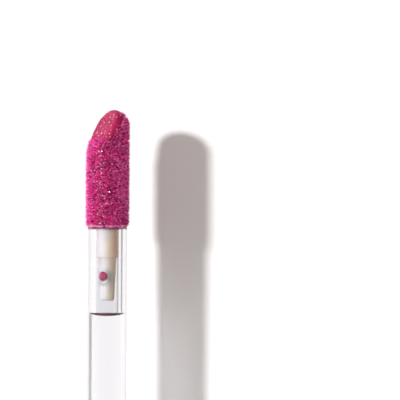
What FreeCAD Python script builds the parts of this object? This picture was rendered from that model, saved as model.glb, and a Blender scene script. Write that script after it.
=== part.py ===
import FreeCAD, Part
import os

import Sketcher
from FreeCAD import Placement, Rotation, Vector

# A square-section lip gloss tube, opened and lying on its side along Y: the cap with its clear wand
# at the low end, the wand's flocked doe-foot tip pointing to +Y, then the vial with its mouth to -Y.
# Each half is drawn about the long axis in a frame of its own. The cap's frame starts at its mouth
# and the vial's at its shoulder, and the closed cap's mouth meets the vial's shoulder.

SIZES = {
    # square section shared by the cap and the vial
    "body_width": 20.0,
    "corner_radius": 4.0,
    "edge_radius": 0.8,
    # how deep a thread or rib is rooted in the wall that carries it
    "root_overlap": 0.1,
    # how far the open wand's tip stands from the vial's mouth
    "tip_gap": 20.0,
    # vial
    "vial_length": 62.0,
    "base_thickness": 5.0,
    "cavity_radius": 6.3,
    "cavity_round": 3.0,
    "shoulder_thickness": 1.5,
    "shoulder_slope": 2.0,
    "neck_length": 10.5,
    "neck_radius": 5.8,
    "neck_bore_radius": 4.3,
    # screw thread of one start
    "thread_pitch": 3.0,
    "thread_height": 0.7,
    "thread_root_width": 1.2,
    "thread_crest_width": 0.6,
    "thread_turns": 0.9,
    "neck_thread_start": 8.8,
    "screw_turns": 1.25,
    # wiper
    "wiper_radius": 4.25,
    "wiper_flange_radius": 5.4,
    "wiper_flange_thickness": 0.8,
    "wiper_mouth_radius": 3.7,
    "wiper_length": 8.0,
    "wiper_wall": 0.75,
    "wiper_lip": 0.6,
    "wiper_taper": 3.0,
    # gloss in the vial, with the channel that the wand stands in
    "fill_gap": 0.02,
    "fill_level": 4.0,
    "channel_radius": 3.1,
    "channel_end": 54.5,
    # cap shell
    "cap_length": 40.0,
    "shell_wall": 1.2,
    "shell_end": 2.2,
    "closing_gap": 0.1,
    # inner cap
    "inner_inset": 0.3,
    "inner_flange": 2.0,
    "fit_gap": 0.05,
    "socket_radius": 6.7,
    "socket_wall": 1.3,
    "roof_depth": 12.15,
    "roof_thickness": 2.2,
    "boss_radius": 4.6,
    "boss_length": 8.0,
    "cup_floor": 1.0,
    "cup_wall": 0.7,
    "cup_length": 8.0,
    "rib_width": 1.2,
    # cap weight
    "weight_radius": 7.0,
    "weight_play": 0.15,
    "weight_side_gap": 0.3,
    "weight_chamfer": 0.5,
    # seal washer
    "washer_radius": 5.5,
    "washer_thickness": 0.8,
    # wand
    "stem_radius": 2.35,
    "slide_gap": 0.1,
    "wand_reach": 52.0,
    "head_radius": 3.0,
    "head_flange_radius": 3.4,
    "head_flange_thickness": 1.0,
    "bead_height": 0.2,
    "bead_width": 0.8,
    "bore_radius": 1.375,
    "bore_depth": 10.3,
    "bore_point": 0.25,
    # moulded tip core: the plug in the wand's bore and the doe foot ahead of it
    "plug_radius": 1.35,
    "plug_length": 3.8,
    "tail_radius": 1.08,
    "tail_end_radius": 0.85,
    "tail_length": 8.9,
    "tail_chamfer": 0.2,
    "cross_hole_radius": 0.6,
    "cross_hole_depth": 6.0,
    "cross_hole_turn": 32.0,
    "foot_radius": 1.9,
    "foot_dome": 1.5,
    # flock on the doe foot
    "flock_thickness": 0.4,
    "flock_length": 13.8,
    # slanted face of the doe foot
    "face_turn": 60.0,
    "face_drop": 1.3,
    "face_angle": 30.0,
}

TOTAL = (
    "(Sizes.cap_length + Sizes.wand_reach + Sizes.tip_gap + Sizes.wiper_flange_thickness"
    " + Sizes.neck_length + Sizes.vial_length)"
)
CAP_Y = f"Sizes.cap_length - {TOTAL} / 2"
VIAL_Y = f"{TOTAL} / 2 - Sizes.vial_length"
AXIS_Z = "Sizes.body_width / 2"
HALF_WIDTH = "Sizes.body_width / 2"
HOLLOW_HALF = "(Sizes.body_width / 2 - Sizes.shell_wall)"
SOCKET_OUTSIDE = "(Sizes.socket_radius + Sizes.socket_wall)"
ROOF_TOP = "(Sizes.roof_depth + Sizes.roof_thickness)"
BOSS_TOP = f"({ROOF_TOP} + Sizes.boss_length)"
CUP_BASE = f"({BOSS_TOP} + Sizes.cup_floor)"
RIM_Y = "(Sizes.wand_reach - Sizes.flock_length)"
FLOCK_RADIUS = "(Sizes.foot_radius + Sizes.flock_thickness)"
THROUGH = 30.0  # longer than any cut that goes right through
OVERSHOOT = "1"  # how far a cut starts outside what it cuts
CLOSE = 0.01  # places nearer than this count as one

doc = FreeCAD.newDocument("lip_gloss_tube")


def make_sheet():
    """The driving dimensions, one aliased cell each, in millimetres and degrees."""
    sheet = doc.addObject("Spreadsheet::Sheet", "Sizes")
    for row, (name, size) in enumerate(SIZES.items(), start=1):
        sheet.set(f"A{row}", name)
        sheet.set(f"B{row}", str(size))
        sheet.setAlias(f"B{row}", name)
    doc.recompute()
    return sheet


def value(expression):
    """The number that an expression of the sheet's cells comes to."""
    return float(sizes.evalExpression(expression))


def new_piece(label, along):
    """An empty body on the tube's long axis, its frame's start at the given place along Y."""
    body = doc.addObject("PartDesign::Body", label)
    body.Label = label
    body.setExpression("Placement.Base.y", along)
    body.setExpression("Placement.Base.z", AXIS_Z)
    return body


def new_sketch(body, role, name, turn="0"):
    """A sketch on one of the body's origin planes, turned about the long axis."""
    plane = next(part for part in body.Origin.OriginFeatures if part.Role == role)
    sketch = body.newObject("Sketcher::SketchObject", name)
    sketch.AttachmentSupport = [(plane, "")]
    sketch.MapMode = "FlatFace"
    if turn != "0":
        sketch.AttachmentOffset = Placement(Vector(), Rotation(Vector(0, 1, 0), value(turn)))
        sketch.setExpression("AttachmentOffset.Rotation.Angle", turn)
    return sketch


def pin(sketch, line, direction, expression):
    """Hold the start of a line at a bound distance from the sketch's origin."""
    size = value(expression)
    if size == 0:
        axis = -2 if direction == "X" else -1
        sketch.addConstraint(Sketcher.Constraint("PointOnObject", line, 1, axis))
        return
    constraint = Sketcher.Constraint(f"Distance{direction}", -1, 1, line, 1, size)
    index = sketch.addConstraint(constraint)
    sketch.setExpression(f"Constraints[{index}]", expression)


def draw_outline(sketch, points):
    """A closed straight-sided outline whose corners are pairs of expressions."""
    corners = [Vector(value(across), value(along), 0) for across, along in points]
    count = len(corners)
    for index, corner in enumerate(corners):
        sketch.addGeometry(Part.LineSegment(corner, corners[(index + 1) % count]), False)
    for index, (across, along) in enumerate(points):
        following = (index + 1) % count
        sketch.addConstraint(Sketcher.Constraint("Coincident", index, 2, following, 1))
        pin(sketch, index, "X", across)
        pin(sketch, index, "Y", along)


def turn_profile(body, kind, name, points):
    """Add or cut a turned form: points are (radius, place along the axis)."""
    sketch = new_sketch(body, "XY_Plane", f"{name}_outline")
    draw_outline(sketch, points)
    feature = body.newObject(f"PartDesign::{kind}", name)
    feature.Profile = sketch
    feature.ReferenceAxis = (sketch, ["V_Axis"])
    feature.Angle = 360
    doc.recompute()
    return feature


def square_prism(body, kind, name, half, start, length, towards_plus_y):
    """Add or cut a square prism about the long axis."""
    sketch = new_sketch(body, "XZ_Plane", f"{name}_outline")
    low = f"-({half})"
    draw_outline(sketch, [(low, low), (half, low), (half, half), (low, half)])
    sketch.setExpression("AttachmentOffset.Base.z", start)
    feature = body.newObject(f"PartDesign::{kind}", name)
    feature.Profile = sketch
    feature.setExpression("Length", length)
    feature.Reversed = towards_plus_y
    doc.recompute()
    return feature


def add_fillet(body, name, feature, keep, radius):
    """Round those edges of a feature that keep() picks."""
    edges = [f"Edge{n}" for n, edge in enumerate(feature.Shape.Edges, start=1) if keep(edge)]
    fillet = body.newObject("PartDesign::Fillet", name)
    fillet.Base = (feature, edges)
    fillet.setExpression("Radius", radius)
    doc.recompute()
    return fillet


def runs_along_axis(edge):
    """Whether a straight edge lies along Y."""
    first, last = edge.Vertexes[0].Point, edge.Vertexes[-1].Point
    sideways = abs(first.x - last.x) + abs(first.z - last.z)
    return abs(first.y - last.y) > CLOSE and sideways < CLOSE


def at_height(level):
    """Picks edges that lie wholly at one place along Y."""
    def keep(edge):
        box = edge.BoundBox
        return abs(box.YMin - level) < CLOSE and abs(box.YMax - level) < CLOSE
    return keep


def add_thread(body, name, role, root, crest, start):
    """A one-start right-hand ridge on a neck or in a socket, from root radius to crest radius."""
    half_root = "Sizes.thread_root_width / 2"
    half_crest = "Sizes.thread_crest_width / 2"
    places = [
        (root, f"{start} - {half_root}"),
        (crest, f"{start} - {half_crest}"),
        (crest, f"{start} + {half_crest}"),
        (root, f"{start} + {half_root}"),
    ]
    sketch = new_sketch(body, role, f"{name}_outline")
    if role == "YZ_Plane":
        places = [(along, radius) for radius, along in places]
    draw_outline(sketch, places)
    thread = body.newObject("PartDesign::AdditiveHelix", name)
    thread.Profile = sketch
    thread.ReferenceAxis = (sketch, ["H_Axis" if role == "YZ_Plane" else "V_Axis"])
    thread.Mode = "pitch-height-angle"
    thread.setExpression("Pitch", "Sizes.thread_pitch")
    thread.setExpression("Height", "Sizes.thread_pitch * Sizes.thread_turns")
    thread.Angle = 0
    doc.recompute()
    return thread


def make_vial():
    """Thick-walled square vial with a round cavity and a threaded neck."""
    body = new_piece("vial", VIAL_Y)
    block = square_prism(body, "Pad", "vial_block", HALF_WIDTH, "0", "Sizes.vial_length", True)
    corners = add_fillet(body, "vial_corners", block, runs_along_axis, "Sizes.corner_radius")
    length = value("Sizes.vial_length")
    base = add_fillet(body, "vial_base_edge", corners, at_height(length), "Sizes.edge_radius")
    add_fillet(body, "vial_shoulder_edge", base, at_height(0), "Sizes.edge_radius")
    turn_profile(body, "Revolution", "vial_neck", [
        ("0", "-Sizes.neck_length"),
        ("Sizes.neck_radius", "-Sizes.neck_length"),
        ("Sizes.neck_radius", "Sizes.shoulder_thickness"),
        ("0", "Sizes.shoulder_thickness"),
    ])
    mouth = f"-Sizes.neck_length - {OVERSHOOT}"
    floor = "Sizes.vial_length - Sizes.base_thickness"
    cavity = turn_profile(body, "Groove", "vial_cavity", [
        ("0", mouth),
        ("Sizes.neck_bore_radius", mouth),
        ("Sizes.neck_bore_radius", "Sizes.shoulder_thickness"),
        ("Sizes.cavity_radius", "Sizes.shoulder_thickness + Sizes.shoulder_slope"),
        ("Sizes.cavity_radius", floor),
        ("0", floor),
    ])
    add_fillet(body, "vial_cavity_floor", cavity, at_height(value(floor)), "Sizes.cavity_round")
    neck = "Sizes.neck_radius"
    add_thread(body, "vial_thread", "XY_Plane", f"{neck} - Sizes.root_overlap",
               f"{neck} + Sizes.thread_height", "-Sizes.neck_thread_start")
    return body


def make_wiper():
    """Soft funnel in the neck that strips the wand as it is drawn."""
    top = "-Sizes.neck_length - Sizes.wiper_flange_thickness"
    end = "Sizes.wiper_length - Sizes.neck_length"
    orifice = "Sizes.stem_radius + Sizes.slide_gap"
    body = new_piece("wiper", VIAL_Y)
    turn_profile(body, "Revolution", "wiper_funnel", [
        ("Sizes.wiper_mouth_radius", top),
        ("Sizes.wiper_flange_radius", top),
        ("Sizes.wiper_flange_radius", "-Sizes.neck_length"),
        ("Sizes.wiper_radius", "-Sizes.neck_length"),
        ("Sizes.wiper_radius", f"{end} - Sizes.wiper_taper"),
        (f"{orifice} + Sizes.wiper_wall", end),
        (orifice, end),
        (orifice, f"{end} - Sizes.wiper_lip"),
        ("Sizes.wiper_radius - Sizes.wiper_wall", f"{end} - Sizes.wiper_taper - Sizes.wiper_lip"),
    ])
    return body


def make_gloss_fill():
    """The gloss in the vial, open along the channel that the wand stands in."""
    outside = "Sizes.cavity_radius - Sizes.fill_gap"
    floor = "Sizes.vial_length - Sizes.base_thickness - Sizes.fill_gap"
    body = new_piece("gloss_fill", VIAL_Y)
    fill = turn_profile(body, "Revolution", "gloss_column", [
        ("Sizes.channel_radius", "Sizes.fill_level"),
        (outside, "Sizes.fill_level"),
        (outside, floor),
        ("0", floor),
        ("0", "Sizes.channel_end"),
        ("Sizes.channel_radius", "Sizes.channel_end"),
    ])
    add_fillet(body, "gloss_floor", fill, at_height(value(floor)), "Sizes.cavity_round")
    return body


def make_cap_shell():
    """Outer cap: a square cup that the inner cap is pressed into."""
    body = new_piece("cap_shell", CAP_Y)
    block = square_prism(body, "Pad", "shell_block", HALF_WIDTH, "0", "Sizes.cap_length", False)
    corners = add_fillet(body, "shell_corners", block, runs_along_axis, "Sizes.corner_radius")
    length = value("Sizes.cap_length")
    end = add_fillet(body, "shell_end_edge", corners, at_height(-length), "Sizes.edge_radius")
    depth = "Sizes.cap_length - Sizes.shell_end"
    hollow = square_prism(body, "Pocket", "shell_hollow", HOLLOW_HALF, "0", depth, True)
    if hollow.Shape.Volume >= end.Shape.Volume:
        raise RuntimeError("the shell's hollow cuts nothing")
    inner_half = value(HOLLOW_HALF)

    def is_inner_corner(edge):
        return runs_along_axis(edge) and abs(abs(edge.Vertexes[0].X) - inner_half) < CLOSE

    add_fillet(body, "shell_inner_corners", hollow, is_inner_corner,
               "Sizes.corner_radius - Sizes.shell_wall")
    return body


def make_inner_cap():
    """Threaded liner of the cap, with the wand's socket and a cup for the weight."""
    body = new_piece("inner_cap", CAP_Y)
    mouth = "-Sizes.inner_inset"
    flange = square_prism(body, "Pad", "inner_flange", f"{HOLLOW_HALF} - Sizes.fit_gap",
                          "Sizes.inner_inset", "Sizes.inner_flange", False)
    add_fillet(body, "inner_flange_corners", flange, runs_along_axis,
               "Sizes.corner_radius - Sizes.shell_wall")
    cup_radius = "Sizes.weight_radius + Sizes.weight_side_gap"
    cup_outside = f"{cup_radius} + Sizes.cup_wall"
    cup_end = f"-({CUP_BASE} + Sizes.cup_length)"
    turn_profile(body, "Revolution", "inner_sleeve", [
        ("0", mouth),
        (SOCKET_OUTSIDE, mouth),
        (SOCKET_OUTSIDE, f"-{ROOF_TOP}"),
        ("Sizes.boss_radius", f"-{ROOF_TOP}"),
        ("Sizes.boss_radius", f"-{BOSS_TOP}"),
        (cup_outside, f"-{BOSS_TOP}"),
        (cup_outside, cup_end),
        (cup_radius, cup_end),
        (cup_radius, f"-{CUP_BASE}"),
        ("0", f"-{CUP_BASE}"),
    ])
    bore = "Sizes.head_radius + Sizes.fill_gap"
    groove = f"{bore} + Sizes.bead_height"
    flange_seat = "Sizes.head_flange_radius + Sizes.fit_gap"
    seat = "Sizes.roof_depth + Sizes.head_flange_thickness"
    bead_top = f"{BOSS_TOP} - Sizes.bead_width"
    turn_profile(body, "Groove", "inner_bore", [
        ("0", "0"),
        ("Sizes.socket_radius", "0"),
        ("Sizes.socket_radius", "-Sizes.roof_depth"),
        (flange_seat, "-Sizes.roof_depth"),
        (flange_seat, f"-({seat})"),
        (bore, f"-({seat})"),
        (bore, f"-({bead_top} - Sizes.bead_width)"),
        (groove, f"-({bead_top} - Sizes.bead_width)"),
        (groove, f"-({bead_top})"),
        (bore, f"-({bead_top})"),
        (bore, f"-{BOSS_TOP}"),
        ("0", f"-{BOSS_TOP}"),
    ])
    add_thread(body, "inner_thread", "YZ_Plane", "Sizes.socket_radius + Sizes.root_overlap",
               "Sizes.socket_radius - Sizes.thread_height",
               "Sizes.closing_gap + Sizes.thread_pitch / 2 - Sizes.neck_thread_start")
    add_ribs(body)
    return body


def add_ribs(body):
    """Four ribs that centre the inner cap in the shell's flat sides."""
    half = "Sizes.rib_width / 2"
    inside = f"{SOCKET_OUTSIDE} - Sizes.root_overlap"
    outside = f"{HOLLOW_HALF} - Sizes.fit_gap"
    sketch = new_sketch(body, "XZ_Plane", "inner_rib_outline")
    draw_outline(sketch, [(f"-{half}", inside), (half, inside), (half, outside),
                          (f"-{half}", outside)])
    sketch.setExpression("AttachmentOffset.Base.z", "Sizes.inner_inset")
    rib = body.newObject("PartDesign::Pad", "inner_rib")
    rib.Profile = sketch
    rib.setExpression("Length", f"{ROOF_TOP} - Sizes.inner_inset")
    doc.recompute()
    ribs = body.newObject("PartDesign::PolarPattern", "inner_ribs")
    ribs.Originals = [rib]
    ribs.Axis = (sketch, ["N_Axis"])
    ribs.Angle = 360
    ribs.Occurrences = 4
    body.Tip = ribs
    doc.recompute()


def make_cap_weight():
    """Steel slug that gives the cap its heft, loose in its cup."""
    low = f"{CUP_BASE} + Sizes.weight_play"
    high = "Sizes.cap_length - Sizes.shell_end - Sizes.weight_play"
    cut = "Sizes.weight_chamfer"
    body = new_piece("cap_weight", CAP_Y)
    turn_profile(body, "Revolution", "weight_slug", [
        ("0", f"-({low})"),
        (f"Sizes.weight_radius - {cut}", f"-({low})"),
        ("Sizes.weight_radius", f"-({low} + {cut})"),
        ("Sizes.weight_radius", f"-({high} - {cut})"),
        (f"Sizes.weight_radius - {cut}", f"-({high})"),
        ("0", f"-({high})"),
    ])
    return body


def make_seal_washer():
    """Soft washer that floats on the wand between the inner cap's roof and the vial's mouth."""
    lift = "Sizes.screw_turns * Sizes.thread_pitch"
    back = f"{lift} + Sizes.closing_gap - Sizes.roof_depth"
    front = f"{back} + Sizes.washer_thickness"
    hole = "Sizes.stem_radius + Sizes.slide_gap"
    body = new_piece("seal_washer", CAP_Y)
    turn_profile(body, "Revolution", "washer_ring", [
        (hole, back),
        ("Sizes.washer_radius", back),
        ("Sizes.washer_radius", front),
        (hole, front),
    ])
    return body


def make_wand():
    """Clear wand: a head that snaps into the inner cap, a solid stem and a blind bore at its end."""
    seat = "Sizes.roof_depth + Sizes.head_flange_thickness"
    bead_top = f"{BOSS_TOP} - Sizes.bead_width - Sizes.fit_gap"
    bead_low = f"{BOSS_TOP} - 2 * Sizes.bead_width + Sizes.fit_gap"
    bead = "Sizes.head_radius + Sizes.bead_height - Sizes.fit_gap"
    top = f"{BOSS_TOP} - Sizes.fit_gap"
    body = new_piece("wand", CAP_Y)
    turn_profile(body, "Revolution", "wand_stem", [
        ("0", f"-({top})"),
        ("Sizes.head_radius", f"-({top})"),
        ("Sizes.head_radius", f"-({bead_top})"),
        (bead, f"-({bead_top})"),
        (bead, f"-({bead_low})"),
        ("Sizes.head_radius", f"-({bead_low})"),
        ("Sizes.head_radius", f"-({seat} - Sizes.fit_gap)"),
        ("Sizes.head_flange_radius", f"-({seat} - Sizes.fit_gap)"),
        ("Sizes.head_flange_radius", "-Sizes.roof_depth"),
        ("Sizes.stem_radius", "-Sizes.roof_depth"),
        ("Sizes.stem_radius", RIM_Y),
        ("0", RIM_Y),
    ])
    bore_end = f"{RIM_Y} - Sizes.bore_depth"
    turn_profile(body, "Groove", "wand_bore", [
        ("0", f"{RIM_Y} + {OVERSHOOT}"),
        ("Sizes.bore_radius", f"{RIM_Y} + {OVERSHOOT}"),
        ("Sizes.bore_radius", bore_end),
        ("0", f"{bore_end} - Sizes.bore_point"),
    ])
    return body


def cut_slanted_face(body, name, radius, standing_out):
    """Cut a doe foot's slanted face, a flat that leans to the axis and looks out to one side."""
    sketch = new_sketch(body, "XY_Plane", f"{name}_outline", "-90 - Sizes.face_turn")
    middle = f"Sizes.wand_reach - Sizes.face_drop + ({standing_out}) / sin(Sizes.face_angle * 1deg)"
    reach = f"({radius} + {OVERSHOOT})"
    run = f"{reach} / tan(Sizes.face_angle * 1deg)"
    draw_outline(sketch, [
        (reach, f"{middle} - {run}"),
        (reach, f"{middle} + {run}"),
        (f"-{reach}", f"{middle} + {run}"),
    ])
    face = body.newObject("PartDesign::Pocket", name)
    face.Profile = sketch
    face.Midplane = True
    face.Length = THROUGH
    doc.recompute()
    return face


def make_tip_core():
    """Moulded core of the tip: a plug and tail in the wand's bore, and the bare doe foot."""
    tail_end = f"{RIM_Y} - Sizes.tail_length"
    foot_top = f"{RIM_Y} + Sizes.flock_length - Sizes.flock_thickness"
    body = new_piece("tip_core", CAP_Y)
    turn_profile(body, "Revolution", "core_form", [
        ("0", tail_end),
        ("Sizes.tail_end_radius - Sizes.tail_chamfer", tail_end),
        ("Sizes.tail_end_radius", f"{tail_end} + Sizes.tail_chamfer"),
        ("Sizes.tail_radius", f"{RIM_Y} - Sizes.plug_length"),
        ("Sizes.plug_radius", f"{RIM_Y} - Sizes.plug_length"),
        ("Sizes.plug_radius", RIM_Y),
        ("Sizes.foot_radius", RIM_Y),
        ("Sizes.foot_radius", foot_top),
        ("0", foot_top),
    ])
    dome = add_fillet(body, "core_dome", body.Tip, at_height(value(foot_top)), "Sizes.foot_dome")
    face = cut_slanted_face(body, "core_face", "Sizes.foot_radius", "-Sizes.flock_thickness")
    if face.Shape.Volume >= dome.Shape.Volume:
        raise RuntimeError("the slanted face cuts nothing")
    hole = new_sketch(body, "XY_Plane", "cross_hole_outline", "-Sizes.cross_hole_turn")
    centre = f"{RIM_Y} - Sizes.cross_hole_depth"
    hole.addGeometry(Part.Circle(Vector(0, value(centre), 0), Vector(0, 0, 1),
                                 value("Sizes.cross_hole_radius")), False)
    hole.addConstraint(Sketcher.Constraint("PointOnObject", 0, 3, -2))
    pin_centre = hole.addConstraint(Sketcher.Constraint("DistanceY", -1, 1, 0, 3, value(centre)))
    hole.setExpression(f"Constraints[{pin_centre}]", centre)
    size = value("Sizes.cross_hole_radius")
    radius = hole.addConstraint(Sketcher.Constraint("Radius", 0, size))
    hole.setExpression(f"Constraints[{radius}]", "Sizes.cross_hole_radius")
    through = body.newObject("PartDesign::Pocket", "cross_hole")
    through.Profile = hole
    through.Midplane = True
    through.Length = THROUGH
    doc.recompute()
    return body


def make_flocking(core):
    """The flock coat: a bigger doe foot with the bare core taken out of it."""
    top = "Sizes.wand_reach"
    outer = new_piece("flock_outside", CAP_Y)
    turn_profile(outer, "Revolution", "flock_form", [
        ("0", RIM_Y),
        (FLOCK_RADIUS, RIM_Y),
        (FLOCK_RADIUS, top),
        ("0", top),
    ])
    add_fillet(outer, "flock_dome", outer.Tip, at_height(value(top)),
               "Sizes.foot_dome + Sizes.flock_thickness")
    cut_slanted_face(outer, "flock_face", FLOCK_RADIUS, "0")
    coat = doc.addObject("Part::Cut", "flocking")
    coat.Base = outer
    coat.Tool = core
    doc.recompute()
    return coat


def make_gloss_bead():
    """Gloss caught in the tail's cross hole."""
    reach = "Sizes.tail_end_radius"
    turn = "Sizes.cross_hole_turn"
    bead = doc.addObject("Part::Cylinder", "gloss_bead")
    bead.setExpression("Radius", "Sizes.cross_hole_radius - Sizes.fill_gap")
    bead.setExpression("Height", f"2 * {reach}")
    bead.Placement = Placement(Vector(), Rotation(Vector(0, -1, 0), value(turn)))
    bead.setExpression("Placement.Rotation.Angle", turn)
    bead.setExpression("Placement.Base.x", f"{reach} * sin({turn} * 1deg)")
    bead.setExpression("Placement.Base.y", f"{CAP_Y} + {RIM_Y} - Sizes.cross_hole_depth")
    bead.setExpression("Placement.Base.z", f"{AXIS_Z} - {reach} * cos({turn} * 1deg)")
    doc.recompute()
    return bead


def check_document():
    """Stop on any feature that failed, which recompute() alone doesn't report."""
    for item in doc.Objects:
        if "Invalid" in item.State or "Error" in item.State:
            raise RuntimeError(f"{item.Name} did not build: {item.State}")


def export_pieces(pieces):
    """Write each piece to parts/, under its own label."""
    os.makedirs("parts", exist_ok=True)
    for piece in pieces:
        shape = piece.Shape
        if shape.isNull() or not shape.isValid() or shape.Volume <= 0:
            raise RuntimeError(f"{piece.Label} has no valid solid")
        shape.exportStep(f"parts/{piece.Label}.step")
        print(f"{piece.Label}: {shape.Volume:.1f} mm3, {len(shape.Solids)} solid")


sizes = make_sheet()
tip_core = make_tip_core()
pieces = [
    make_vial(),
    make_wiper(),
    make_gloss_fill(),
    make_cap_shell(),
    make_inner_cap(),
    make_cap_weight(),
    make_seal_washer(),
    make_wand(),
    tip_core,
    make_flocking(tip_core),
    make_gloss_bead(),
]
doc.recompute()
check_document()
export_pieces(pieces)
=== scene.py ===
import math

import bmesh
import bpy
import numpy as np
from mathutils import Matrix, Vector


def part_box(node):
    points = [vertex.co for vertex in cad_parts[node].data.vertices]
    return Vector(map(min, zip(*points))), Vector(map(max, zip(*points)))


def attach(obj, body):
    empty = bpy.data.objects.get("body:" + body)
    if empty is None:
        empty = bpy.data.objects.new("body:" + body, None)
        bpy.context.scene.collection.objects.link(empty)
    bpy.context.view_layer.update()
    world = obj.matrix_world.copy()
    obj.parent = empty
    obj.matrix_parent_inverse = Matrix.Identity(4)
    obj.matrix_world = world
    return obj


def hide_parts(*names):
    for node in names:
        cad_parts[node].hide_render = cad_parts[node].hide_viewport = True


# The opened lip gloss tube around its CAD frame: the cap with its clear wand and flocked tip, and
# the clear vial of gloss. The long axis is Y, and the wand's tip points to +Y.

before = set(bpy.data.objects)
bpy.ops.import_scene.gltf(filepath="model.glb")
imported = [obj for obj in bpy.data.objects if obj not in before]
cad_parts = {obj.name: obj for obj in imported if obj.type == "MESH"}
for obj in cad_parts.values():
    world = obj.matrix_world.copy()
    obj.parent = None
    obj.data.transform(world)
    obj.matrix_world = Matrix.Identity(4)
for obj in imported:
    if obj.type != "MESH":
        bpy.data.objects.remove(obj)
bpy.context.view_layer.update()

MM = 0.001


# --------------------------------------------------------------------------- places from the frame

def low(node):
    """Lowest corner of a CAD node's box."""
    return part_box(node)[0]


def high(node):
    """Highest corner of a CAD node's box."""
    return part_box(node)[1]


AXIS_Z = (low("vial")[2] + high("vial")[2]) / 2
HALF_WIDTH = (high("vial")[0] - low("vial")[0]) / 2
CAP_END_Y = low("cap_shell")[1]
CAP_MOUTH_Y = high("cap_shell")[1]
HEAD_Y = low("wand")[1]
RIM_Y = high("wand")[1]
FOOT_RADIUS = (high("flocking")[0] - low("flocking")[0]) / 2
FOOT_LENGTH = 13.8 * MM
TIP_Y = RIM_Y + FOOT_LENGTH
NECK_Y = low("vial")[1]
VIAL_END_Y = high("vial")[1]
VIAL_LENGTH = 62.0 * MM
SHOULDER_Y = VIAL_END_Y - VIAL_LENGTH
WIPER_TOP_Y = low("wiper")[1]
WIPER_END_Y = high("wiper")[1]
FILL_Y = low("gloss_fill")[1]
FILL_END_Y = high("gloss_fill")[1]

CORNER_RADIUS = 4.0 * MM
EDGE_RADIUS = 0.8 * MM
SHELL_WALL = 1.2 * MM
SHELL_END = 2.2 * MM
HEAD_RADIUS = 3.0 * MM
FLANGE_RADIUS = 3.4 * MM
FLANGE_NEAR_Y = CAP_MOUTH_Y - 13.1 * MM
FLANGE_FAR_Y = CAP_MOUTH_Y - 12.15 * MM
STEM_RADIUS = 2.35 * MM
BORE_RADIUS = 1.375 * MM
BORE_END_Y = RIM_Y - 10.3 * MM
BORE_DISH = 0.44 * MM
PLUG_RADIUS = 1.35 * MM
PLUG_LENGTH = 3.8 * MM
TAIL_RADIUS = 1.08 * MM
TAIL_END_RADIUS = 0.85 * MM
TAIL_LENGTH = 8.9 * MM
HOLE_RADIUS = 0.6 * MM
HOLE_Y = RIM_Y - 6.0 * MM
HOLE_TURN = math.radians(32.0)
FOOT_DOME = 1.9 * MM
FACE_TURN = math.radians(60.0)
FACE_ANGLE = math.radians(30.0)
FACE_DROP = 1.3 * MM
NECK_RADIUS = 5.8 * MM
NECK_BORE_RADIUS = 4.3 * MM
THREAD_HEIGHT = 0.7 * MM
THREAD_PITCH = 3.0 * MM
THREAD_TURNS = 0.9
THREAD_START_Y = SHOULDER_Y - 8.8 * MM
CAVITY_RADIUS = 6.3 * MM
CAVITY_ROUND = 3.0 * MM
BASE_THICKNESS = 5.0 * MM
CHANNEL_RADIUS = 3.1 * MM
CHANNEL_END_Y = SHOULDER_Y + 54.5 * MM
WIPER_RADIUS = 5.4 * MM
WIPER_BORE_RADIUS = 3.5 * MM
SLEEVE_RADIUS = 4.25 * MM
ORIFICE_RADIUS = 2.45 * MM
WASHER_RADIUS = 5.5 * MM
WASHER_HOLE_RADIUS = 2.45 * MM

SIDES = 160  # facets round a turned piece


# ------------------------------------------------------------------------------------ mesh helpers

def add_piece(name, verts, faces, body, materials, smooth=True):
    """A mesh object that rides on a body and takes its finish from a slot."""
    mesh = bpy.data.meshes.new(name)
    mesh.from_pydata([tuple(v) for v in verts], [], [tuple(f) for f in faces])
    mesh.update()
    piece = bpy.data.objects.new(name, mesh)
    bpy.context.scene.collection.objects.link(piece)
    for material in materials:
        mesh.materials.append(material)
    if smooth:
        mesh.shade_smooth()
    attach(piece, body)
    return piece


def face_outwards(piece):
    """Turn every face of a closed mesh outwards."""
    mesh = piece.data
    shape = bmesh.new()
    shape.from_mesh(mesh)
    bmesh.ops.recalc_face_normals(shape, faces=shape.faces)
    shape.to_mesh(mesh)
    shape.free()


def loose_form(name, verts, faces):
    """A closed mesh with no material that rides on nothing yet."""
    mesh = bpy.data.meshes.new(name)
    mesh.from_pydata([tuple(v) for v in verts], [], [tuple(f) for f in faces])
    form = bpy.data.objects.new(name, mesh)
    bpy.context.scene.collection.objects.link(form)
    face_outwards(form)
    return form


def apply_modifiers(piece):
    """Swap a piece's mesh for what its modifiers make of it."""
    graph = bpy.context.evaluated_depsgraph_get()
    made = bpy.data.meshes.new_from_object(piece.evaluated_get(graph))
    piece.modifiers.clear()
    piece.data = made


def smooth_piece(piece, crease=35.0):
    """Smooth a piece between its creases, with every large face keeping its own normal."""
    piece.data.shade_smooth()
    piece.data.set_sharp_from_angle(angle=math.radians(crease))
    weigh = piece.modifiers.new("normals", "WEIGHTED_NORMAL")
    weigh.mode = "FACE_AREA"
    weigh.weight = 100
    weigh.keep_sharp = True
    apply_modifiers(piece)


def rounded(outline, steps=4):
    """Round an outline's corners: each point is (radius, y) or (radius, y, corner radius)."""
    points = []
    for index, point in enumerate(outline):
        here = Vector(point[:2])
        size = point[2] if len(point) > 2 else 0
        if size == 0:
            points.append(tuple(here))
            continue
        before = Vector(outline[index - 1][:2]) - here
        after = Vector(outline[(index + 1) % len(outline)][:2]) - here
        half = before.angle(after) / 2
        reach = size / math.tan(half)
        centre = here + (before.normalized() + after.normalized()).normalized() * size / math.sin(half)
        start = here + before.normalized() * reach - centre
        sweep = (here + after.normalized() * reach - centre).angle_signed(start)
        for step in range(steps + 1):
            angle = sweep * step / steps
            turned = Matrix.Rotation(angle, 2) @ start
            points.append(tuple(centre + turned))
    return points


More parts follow.
